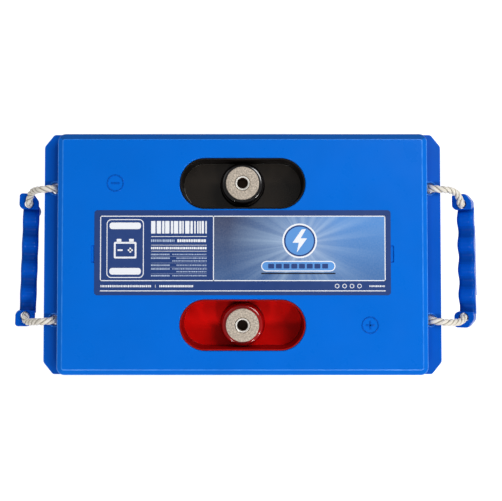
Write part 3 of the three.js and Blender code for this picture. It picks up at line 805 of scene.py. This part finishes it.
def badge(x, y):
    """A framed cell symbol between two bands."""
    items = [
        print_shape("badge", rectangle(13.5, 21.3, 3.4, 6, (x, y)), 1, WHITE),
        print_shape("badge_in", rectangle(12.9, 20.7, 2.9, 6, (x, y)), 2, NAVY),
    ]
    for end in (-1, 1):
        items.append(bar(x - 11.4, x + 11.4, y + end * 18.9, y + end * 14.1, 3, WHITE, 1.8))
    return items + [
        bar(x - 8.2, x + 8.2, y - 7.2, y + 4.8, 3, WHITE, 0.9),
        bar(x - 6.9, x + 6.9, y - 5.9, y + 3.5, 4, NAVY, 0.5),
        bar(x - 6.2, x - 2.8, y + 4.6, y + 7.0, 3, WHITE, 0.3),
        bar(x + 2.8, x + 6.2, y + 4.6, y + 7.0, 3, WHITE, 0.3),
        bar(x - 5.5, x - 1.9, y - 1.8, y - 0.6, 5, WHITE),
        bar(x + 1.9, x + 5.5, y - 1.8, y - 0.6, 5, WHITE),
        bar(x + 3.1, x + 4.3, y - 3.0, y + 0.6, 5, WHITE),
    ]


def block_of_print(x0, x1):
    """Upright bars over lines of small print."""
    items = []
    x = x0
    while x < x1 - 0.6:
        wide = min(random.choice((1.1, 1.7, 2.3, 3.1)), x1 - x)
        items.append(bar(x, x + wide, 14.9, 24.0, 2, WHITE, 0.25))
        x += wide + random.choice((0.55, 0.75, 1.0))
    items.append(bar(x0, x1, 12.5, 12.9, 2, WHITE))
    items += words(x0, x0 + 17.0, 9.7, 1.9, PALE, (0.5, 1.5), 0.5)
    items += words(x0 + 19, x1, 9.7, 2.1, WHITE, (0.8, 1.6), 0.32)
    items.append(bar(x0, x1, 6.3, 6.6, 2, WHITE))
    items += words(x0, x1, 4.3, 1.7, WHITE, (0.7, 1.5), 0.34)
    items.append(bar(x0, x1, 1.9, 2.2, 2, WHITE))
    for i, height in enumerate((-0.3, -3.0, -5.0, -8.1, -10.8, -12.8, -15.7)):
        if i not in (2, 5):
            items += words(x0, x0 + 13.5, height, 1.0, PALE, (0.5, 1.2), 0.25)
        start = x0 + (18.5 if i % 2 else 15.5)
        items += words(start, x1, height, 0.85, PALE, (0.4, 1.1), 0.4)
        if i in (0, 2, 3, 5):
            items.append(bar(x0, x1, height - 1.5, height - 1.38, 2, PALE))
    return items


def emblem(x, y):
    """A spark in a ring, over a plain bar of eight cells."""
    items = []
    for layer, radius, colour in ((2, 12.6, WHITE), (3, 11.4, NAVY), (4, 10.3, SKY)):
        disc = rectangle(radius, radius, radius, 16, (x, y))
        items.append(print_shape("ring", disc, layer, colour))
    spark = [(1.6, 8.4), (-5.2, -1.4), (-0.6, -1.4), (-2.2, -8.6), (5.4, 1.8), (0.7, 1.8), (4.6, 8.4)]
    corners = [(x + across, y + up) for across, up in spark]
    items.append(print_shape("spark", rounded(corners, 0.3, 3), 5, WHITE))
    items.append(bar(13.5, 67.5, -12.6, -5.0, 2, WHITE, 3.7))
    items.append(bar(14.2, 66.8, -11.9, -5.7, 3, SKY, 3.0))
    for i in range(8):
        start = 18.6 + 5.6 * i
        items.append(bar(start, start + 4.3, -10.5, -7.1, 4, NAVY, 0.5))
    items.append(bar(13.5, 67.5, -14.6, -13.6, 3, INK, 0.45))
    return items


def bottom_strip(left, right):
    """Small print, four rings and a line along the label's lower edge."""
    y = -23.3
    items = words(left + 0.4, left + 37.5, y, 1.6, WHITE, (0.5, 1.2), 0.38)
    items.append(bar(left + 40, left + 40.3, -24.4, -22.2, 2, WHITE))
    items += words(left + 43, left + 68, y, 1.6, WHITE, (0.5, 1.2), 0.3)
    for i in range(4):
        centre = (68.6 + 5.4 * i, -23.2)
        items.append(print_shape("sign", rectangle(1.6, 1.6, 1.55, 5, centre), 2, WHITE))
        items.append(print_shape("sign_in", rectangle(1.15, 1.15, 1.1, 5, centre), 3, NAVY))
    items += words(92.0, right - 0.6, y, 1.2, WHITE, (0.5, 1.1), 0.35)
    items.append(bar(left, right, -27.0, -26.4, 2, WHITE))
    return items


def build_label():
    half_x = (LABEL_HIGH.x - LABEL_LOW.x) / 2
    half_y = (LABEL_HIGH.y - LABEL_LOW.y) / 2
    film = rectangle(half_x, half_y, 2.2, 6, (0, LABEL_MIDDLE_Y))
    levels = [(0, LABEL_LOW.z), (0, FILM_Z - 0.05), (0.05, FILM_Z)]
    left, right, low, high = -103.4, 103.8, -19.6, 27.8
    split, line = -21.4, 0.65
    items = [stack("label_film", film, levels, NAVY), *frame_lines(left, right, low, high, line)]
    items.append(bar(split, split + line, low, high, 2, WHITE))
    items.append(bar(split + line, right - line, low + line, high - line, 1, RAYS))
    items += badge(-85.2, 4.0)
    items += block_of_print(-66.4, -26.0)
    items += emblem(41.5, 9.6)
    items += bottom_strip(left, right)
    return joined("label_print", items)


on_body(build_label(), "battery", "label")


# ------------------------------------------------------------------ container


def cut_panel(shell, side, is_end, reach, draft, top):
    """Cuts one shallow panel, parallel to its drafted wall, with softly sloping edges."""
    half = 68 if is_end else 112
    base, peak = 40.0, (300.0 if is_end else 330.0)
    middle = (peak + base) / 2
    levels = [(2.2, -1.1), (1.4, -0.9), (0.3, -0.1), (0.0, 0.25), (-0.4, 4.0)]
    cutter = stack("panel", rectangle(half, (peak - base) / 2, 8, 8), levels, CASE_SIDE)
    wall = side * (reach - draft * (1 - middle / top))
    centre = Vector((wall, 0, middle) if is_end else (0, wall, middle)) * MM
    spin = math.radians(90 * side if is_end else 90 * (side + 1))
    upright = Matrix.Rotation(math.radians(90), 4, "X")
    tip = Matrix.Rotation(-math.atan(draft / top), 4, "X")
    cutter.matrix_world = Matrix.Translation(centre) @ Matrix.Rotation(spin, 4, "Z") @ tip @ upright
    bpy.context.view_layer.update()
    boolean(shell, cutter)


def build_container():
    half_x, half_y, top = box_mm("container")[1]
    draft = 1.4
    line = profile(
        [
            (draft + 5, 0),
            (draft + 3.2, 0.0, 0.8),
            (draft, 3.2, 1.2),
            (0.12, top - 34),
            (0.1, top - 33.5),
            (0.1, top - 3.2, 0.4),
            (0.0, top - 2.8, 0.3),
            (0.0, top, 0.3),
            (4.5, top, 0.3),
            (4.9, 8),
        ],
        4,
    )
    shell = stack("case", rectangle(half_x, half_y, 5.0, 8), line, CASE_SIDE)
    for side in (-1, 1):
        cut_panel(shell, side, False, half_y, draft, top)
        cut_panel(shell, side, True, half_x, draft, top)
    smooth(shell, 30)
    even_normals(shell)
    # painted highlight: the rounded edges of the container get the lighter blue
    paint(shell, CASE_EDGE_HIGHLIGHT, lambda p, n: max(map(abs, n)) <= 0.995 and p.z < 378)
    return shell


on_body(build_container(), "battery", "container")


# ------------------------------------------------------------------ grips


def grip_matrix(joint_name, tilt):
    """From the grip's frame (X across, Y along, Z to the finger side) to the battery's, in mm."""
    joint = next(j for j in frame["joints"] if j["name"] == joint_name)
    pivot = Vector(joint["pos_m"]) / MM
    axis = Vector(joint["axis"])
    if axis.y < 0:
        axis = -axis
    yaw = math.atan2(-axis.x, axis.y)
    turn = Matrix.Rotation(yaw, 4, "Z") @ Matrix.Rotation(math.radians(tilt), 4, "Y")
    return Matrix.Translation(pivot) @ turn @ Matrix.Translation((0, 0, -GRIP_ABOVE))


def move_mesh(obj, matrix):
    """Moves the mesh itself by a matrix in millimetres."""
    in_metres = matrix.copy()
    in_metres.translation *= MM
    obj.data.transform(in_metres)
    obj.data.update()


def grip_section(top, squeeze):
    """A round-cornered section across the grip, anticlockwise in width and height."""
    low, high, back = -4.8 + squeeze, 8.3 - squeeze, -15.0
    corners = [
        (low + 1.0, back, 2.2),
        (high - 1.0, back, 2.2),
        (high, top, 4.0),
        (low, top, 4.0),
    ]
    points = []
    for i, corner in enumerate(corners):
        points += bend(corners[i - 1], corner, corners[(i + 1) % 4], corner[2], 9, 0.5)
    return points


def wave_at(along):
    """How high the finger waves stand at a place along the grip, from 0 to 1."""
    return (1 + math.cos(2 * math.pi * (along - 12.0) / 19.1)) / 2


def waved_bar(name):
    """The grip's bar between its lugs, with finger waves on its upper side."""
    half = GRIP_HALF - LUG + 2.0
    count = 90
    points = []
    for i in range(count + 1):
        along = -half + 2 * half * i / count
        wave = wave_at(along)
        section = grip_section(-4.5 + 3.8 * wave, 0.12 * (1 - wave))
        points += [(p.x, along, p.y) for p in section]
    size = len(section)
    faces = ring_faces(count, size, inward=True)
    faces.append(tuple(range(size)))
    faces.append(tuple(reversed(range(count * size, (count + 1) * size))))
    return new_object(name, points, faces, GRIP)


def lug_outline(end):
    """A lug seen from the finger side, with its outer corner cut away."""
    corners = [
        (-7.3, end * (GRIP_HALF - LUG + 2.4)),
        (-4.9, end * (GRIP_HALF - LUG)),
        (7.3, end * (GRIP_HALF - LUG)),
        (7.3, end * (GRIP_HALF - 5.8)),
        (2.9, end * GRIP_HALF),
        (-5.8, end * GRIP_HALF),
        (-7.3, end * (GRIP_HALF - 1.4)),
    ]
    return rounded(corners if end > 0 else corners[::-1], 1.6, 4)


def build_grip(name, matrix):
    body = waved_bar(name)
    # painted shade: the slopes and valleys of the finger waves get darker blues
    paint(body, GRIP_SLOPE_SHADE, lambda p, n: n.z > 0.3 and wave_at(p.y) < 0.5)
    paint(body, GRIP_VALLEY_SHADE, lambda p, n: n.z > 0.3 and wave_at(p.y) < 0.25)

    # the rope channel along the back, and the cut-away behind each lug
    channel = slab("channel", rectangle(3.4, 60, 0.8, 3, (1.7, 0)), -17, -9.8, GRIP)
    boolean(body, channel)
    for end in (-1, 1):
        outline = rectangle(20, 8.4, 1.0, 3, (1.7, end * 35.0))
        boolean(body, slab("behind", outline, -20, -9, GRIP))
    for end in (-1, 1):
        levels = [(0.6, -10.4), (0.0, -9.8), (0.0, -0.9), *quarter_round(0.9, 0, 5, 1)]
        boolean(body, stack("lug", lug_outline(end), levels, GRIP), "UNION")
    for end in (-1, 1):
        outline = rectangle(3.3, 3.3, 3.3, 8, (0, end * GRIP_HOLE))
        cut_hole(body, outline, [(-2.4, -10.6), (0, -8.2)], 0, 0.9, 5)
    smooth(body, 34)
    even_normals(body)
    move_mesh(body, matrix)
    return body


# ------------------------------------------------------------------ ropes


def curve_points(controls, step=0.6):
    """Even points along a smooth curve through the control points."""
    controls = [Vector(c) for c in controls]
    padded = [2 * controls[0] - controls[1], *controls, 2 * controls[-1] - controls[-2]]
    fine = []
    for i in range(1, len(padded) - 2):
        p0, p1, p2, p3 = padded[i - 1 : i + 3]
        t0 = 0.0
        t1 = max(1e-4, (p1 - p0).length ** 0.5)
        t2 = t1 + max(1e-4, (p2 - p1).length ** 0.5)
        t3 = t2 + max(1e-4, (p3 - p2).length ** 0.5)
        for k in range(40):
            t = t1 + (t2 - t1) * k / 40
            a1 = p0 * ((t1 - t) / (t1 - t0)) + p1 * ((t - t0) / (t1 - t0))
            a2 = p1 * ((t2 - t) / (t2 - t1)) + p2 * ((t - t1) / (t2 - t1))
            a3 = p2 * ((t3 - t) / (t3 - t2)) + p3 * ((t - t2) / (t3 - t2))
            b1 = a1 * ((t2 - t) / (t2 - t0)) + a2 * ((t - t0) / (t2 - t0))
            b2 = a2 * ((t3 - t) / (t3 - t1)) + a3 * ((t - t1) / (t3 - t1))
            fine.append(b1 * ((t2 - t) / (t2 - t1)) + b2 * ((t - t1) / (t2 - t1)))
    fine.append(controls[-1])
    lengths = [0.0]
    for a, b in zip(fine, fine[1:]):
        lengths.append(lengths[-1] + (b - a).length)
    count = max(2, round(lengths[-1] / step))
    even, j = [], 0
    for k in range(count + 1):
        goal = lengths[-1] * k / count
        while j < len(lengths) - 2 and lengths[j + 1] < goal:
            j += 1
        share = (goal - lengths[j]) / max(1e-9, lengths[j + 1] - lengths[j])
        even.append(fine[j].lerp(fine[j + 1], min(1.0, share)))
    return even


def twisted(name, points, radius=ROPE, lay=LAY, sides=14, twist=1):
    """A laid rope along the points: strands wound round the middle line."""
    strand = radius * 0.53
    offset = radius - strand
    tangents = []
    for i in range(len(points)):
        a = points[max(0, i - 1)]
        b = points[min(len(points) - 1, i + 1)]
        tangents.append((b - a).normalized())
    side = tangents[0].cross(Vector((0.13, 0.97, 0.21))).normalized()
    frames = []
    for i, tangent in enumerate(tangents):
        if i > 0:
            turn = tangents[i - 1].rotation_difference(tangent)
            side = turn @ side
        side = (side - tangent * side.dot(tangent)).normalized()
        frames.append((side, tangent.cross(side)))
    verts, faces, uvs, outward = [], [], [], []
    for k in range(STRANDS):
        base = len(verts)
        travelled = 0.0
        for i, point in enumerate(points):
            if i > 0:
                travelled += (point - points[i - 1]).length
            phase = twist * 2 * math.pi * travelled / lay + 2 * math.pi * k / STRANDS
            u, v = frames[i]
            out = u * math.cos(phase) + v * math.sin(phase)
            around = -u * math.sin(phase) + v * math.cos(phase)
            centre = point + out * offset
            for s in range(sides):
                a = 2 * math.pi * s / sides
                # a strand is pressed flatter where it meets the others
                wide = 1.12 if abs(math.sin(a)) > 0.7 else 1.0
                flat = around * (math.sin(a) * strand * wide)
                verts.append(centre + out * (math.cos(a) * strand) + flat)
                uvs.append((s / sides, travelled / 9.0 + k * 7.3))
                outward.append((1 + math.cos(a)) / 2)
        faces += ring_faces(len(points) - 1, sides, base)
        faces.append(tuple(reversed(range(base, base + sides))))
        faces.append(tuple(range(len(verts) - sides, len(verts))))
    rope = new_object(name, verts, faces, FIBRE, 60)
    rope.data.attributes.new("outward", "FLOAT", "POINT").data.foreach_set("value", outward)
    layer = rope.data.uv_layers.new(name="UVMap")
    for loop in rope.data.loops:
        u, v = uvs[loop.vertex_index]
        layer.data[loop.index].uv = (u + v * 0.5, v)
    return rope


def knot_points(centre):
    """A pulled-tight overhand knot: a three-lobed loop."""
    size, count = 3.45, 120
    loop = []
    for i in range(count + 1):
        t = 2 * math.pi * i / count
        x = math.sin(t) + 2 * math.sin(2 * t)
        y = math.cos(t) - 2 * math.cos(2 * t)
        z = -math.sin(3 * t)
        loop.append(Vector(centre) + Vector((x * size / 3, y * size / 3, z * size * 0.62)))
    return loop


HANDLES = {
    "left": {
        "side": -1,
        "tilt": 15.0,
        "bulge": (6.3, 4.4),
        "upper": (47.9, [(0.35, 47.7), (0.65, 46.9), (0.85, 44.9), (0.96, 41.9)]),
        "lower": (-49.9, [(0.4, -50.6), (0.72, -51.2), (0.92, -50.4)]),
    },
    "right": {
        "side": 1,
        "tilt": -28.0,
        "bulge": (2.0, 2.0),
        "upper": (47.7, [(0.3, 47.5), (0.55, 46.7), (0.8, 44.8), (0.95, 41.6)]),
        "lower": (-50.2, [(0.4, -50.8), (0.75, -51.0), (0.93, -50.2)]),
    },
}


def leg_route(matrix, side, sign, hinge, anchor_y, bends):
    """The middle line of one leg, from below the ledge to inside the lug."""
    x, hole_y = side * ROPE_HOLE_X, sign * ROPE_HOLE_Y
    pivot = matrix @ Vector((0, sign * GRIP_HOLE, GRIP_ABOVE))
    controls = [
        (x, hole_y, 379.5),
        (x, hole_y, 386.5),
        (x, hole_y, 389.6),
        (x + side * 0.9, hole_y + (anchor_y - hole_y) * 0.15, 392.6),
        (x + side * 3.8, hole_y + (anchor_y - hole_y) * 0.5, hinge.z - 0.1),
        (hinge.x - side * 2.0, anchor_y, hinge.z),
    ]
    for share, y in bends:
        across = hinge.x + (pivot.x - hinge.x) * share
        controls.append((across, y, hinge.z + (pivot.z - hinge.z) * share))
    # the rope noses over into the lug's hole
    for beyond, height in ((1.3, GRIP_ABOVE + 0.5), (0, GRIP_ABOVE - 1.4), (0, 0.4)):
        controls.append(matrix @ Vector((0, sign * (GRIP_HOLE + beyond), height)))
    return curve_points(controls)


def build_leg(which, end, matrix, side, sign, facts):
    """One visible length of rope, with the knot that holds it under the ledge."""
    x, hole_y = side * ROPE_HOLE_X, sign * ROPE_HOLE_Y
    anchor_y, bends = facts
    swing = next(j for j in frame["joints"] if j["name"] == f"{which}_handle_swing")
    hinge = Vector(swing["pos_m"]) / MM
    points = leg_route(matrix, side, sign, hinge, anchor_y, bends)
    leg = twisted(f"rope_{which}_{end}", points, twist=sign)
    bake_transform(leg)
    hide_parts(f"rope_anchor_{which}_{end}", f"rope_leg_{which}_{end}")

    loop = knot_points((x, hole_y, 376.4))
    knot = twisted(f"knot_{which}_{end}", loop, radius=2.3, lay=13.0, sides=12, twist=sign)
    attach(knot, "battery")


def half_span(bulge):
    """The rope behind one half of a grip, from its lug's hole into the channel."""
    return [
        (0, GRIP_HOLE, GRIP_ABOVE - 1.4),
        (0, GRIP_HOLE, -5),
        (0.1, GRIP_HOLE, -9.5),
        (0.9 + (bulge - 0.9) * 0.36, GRIP_HOLE - 0.4, -13.3),
        (bulge, GRIP_HOLE - 3.7, -15.1),
        (1.7 + (bulge - 1.7) * 0.92, GRIP_HOLE - 7.6, -15.4),
        (1.7 + (bulge - 1.7) * 0.45, GRIP_HOLE - 11.6, -14.6),
        (1.7 + (bulge - 1.7) * 0.08, GRIP_HOLE - 15.8, -13.5),
        (1.7, 21, -12.9),
    ]


def build_span(which, matrix, bulges):
    upper, mirrored = (half_span(bulge) for bulge in bulges)
    lower = [(x, -y, z) for x, y, z in reversed(mirrored)]
    controls = [*upper, (1.7, 0, -12.9), *lower]
    return twisted(f"rope_{which}_span", curve_points([matrix @ Vector(p) for p in controls], 0.8))


for which, facts in HANDLES.items():
    matrix = grip_matrix(f"{which}_grip_roll", facts["tilt"])
    on_body(build_grip(f"grip_{which}_look", matrix), f"{which}_grip", f"grip_{which}")
    build_leg(which, "a", matrix, facts["side"], 1, facts["upper"])
    build_leg(which, "b", matrix, facts["side"], -1, facts["lower"])
    span = build_span(which, matrix, facts["bulge"])
    on_body(span, f"{which}_grip", f"rope_span_{which}")


# ------------------------------------------------------------------ inner parts

INNER = {
    "vent_cover": CASE,
    "terminal_seal": RUBBER,
    "relief_valve": RUBBER,
    "flame_arrestor": POROUS,
    "busbar": LEAD,
    "negative_plates": GREY_PLATE,
    "positive_plates": BROWN_PLATE,
    "separator": GLASS_MAT,
}
for name, obj in frame["nodes"].items():
    for start, material in INNER.items():
        if name.startswith(start):
            for slot in obj.material_slots:
                slot.link = "OBJECT"
                slot.material = material


# ------------------------------------------------------------------ floor, light and camera


def build_floor():
    n = Nodes("floor")
    cloud = n.noise(n.add("ShaderNodeTexCoord").outputs["Object"], 3.0)
    n.feed(
        n.shader,
        {
            "Base Color": n.blend(n.spread(cloud, 0.0, 1.0), linear("bcbcbc"), linear("c2c2c2")),
            "Roughness": 0.9,
            "Specular IOR Level": 0.2,
            "Emission Color": (1.0, 1.0, 1.0, 1.0),
            "Emission Strength": 0.8,
        },
    )
    reach = 60.0  # metres
    corners = [(-reach, -reach, 0), (reach, -reach, 0), (reach, reach, 0), (-reach, reach, 0)]
    mesh = bpy.data.meshes.new("floor")
    mesh.from_pydata(corners, [], [(0, 1, 2, 3)])
    mesh.materials.append(n.material)
    floor = bpy.data.objects.new("floor", mesh)
    bpy.context.scene.collection.objects.link(floor)


def add_area(name, place_m, size, power):
    """A square light that faces the middle of the lid."""
    light = bpy.data.lights.new(name, "AREA")
    light.shape = "RECTANGLE"
    light.size = light.size_y = size
    light.energy = power
    obj = bpy.data.objects.new(name, light)
    obj.location = place_m
    direction = Vector((0, 0, TOP)) - Vector(place_m)
    obj.rotation_mode = "QUATERNION"
    obj.rotation_quaternion = direction.to_track_quat("-Z", "Y")
    bpy.context.scene.collection.objects.link(obj)


def build_world():
    """A grey sky that is a little darker overhead."""
    world = bpy.data.worlds.new("studio")
    world.use_nodes = True
    nodes, links = world.node_tree.nodes, world.node_tree.links
    background = nodes["Background"]
    sky = nodes.new("ShaderNodeTexCoord")
    height = nodes.new("ShaderNodeSeparateXYZ")
    ramp = nodes.new("ShaderNodeMapRange")
    ramp.interpolation_type = "SMOOTHSTEP"
    for key, value in {"From Min": 0.2, "From Max": 0.8, "To Min": 0.3, "To Max": 0.2}.items():
        ramp.inputs[key].default_value = value
    links.new(sky.outputs["Generated"], height.inputs[0])
    links.new(height.outputs[2], ramp.inputs["Value"])
    links.new(ramp.outputs["Result"], background.inputs["Strength"])
    background.inputs["Color"].default_value = (1.0, 1.0, 1.0, 1.0)
    bpy.context.scene.world = world


def build_camera():
    """A camera over the lid, leaning a little towards the negative side."""
    camera = bpy.data.cameras.new("camera")
    camera.sensor_width = 36.0
    camera.lens = 55.262151
    camera.shift_x = 0.0169
    camera.shift_y = -0.0404
    camera.clip_start = 0.01
    camera.clip_end = 20.0
    obj = bpy.data.objects.new("camera", camera)
    bpy.context.scene.collection.objects.link(obj)
    obj.location = (0, 0, TOP + 0.560)
    obj.rotation_euler = (math.radians(1.77), 0, 0)
    bpy.context.scene.camera = obj


TOP = DECK_Z * MM
build_floor()
build_world()
add_area("key", (0.66, 0.6, TOP + 1.05), 0.6, 9)
add_area("left", (-0.75, 0.5, TOP + 0.9), 0.6, 0.5)
add_area("right", (0.85, -0.6, TOP + 0.95), 0.14, 3.2)
add_area("low_left", (-0.35, -0.75, TOP + 0.95), 0.14, 2.9)
add_area("low_right", (0.32, -0.75, TOP + 0.95), 0.14, 3.2)
build_camera()
bpy.context.scene.view_settings.view_transform = "Standard"
bpy.context.scene.view_settings.look = "None"
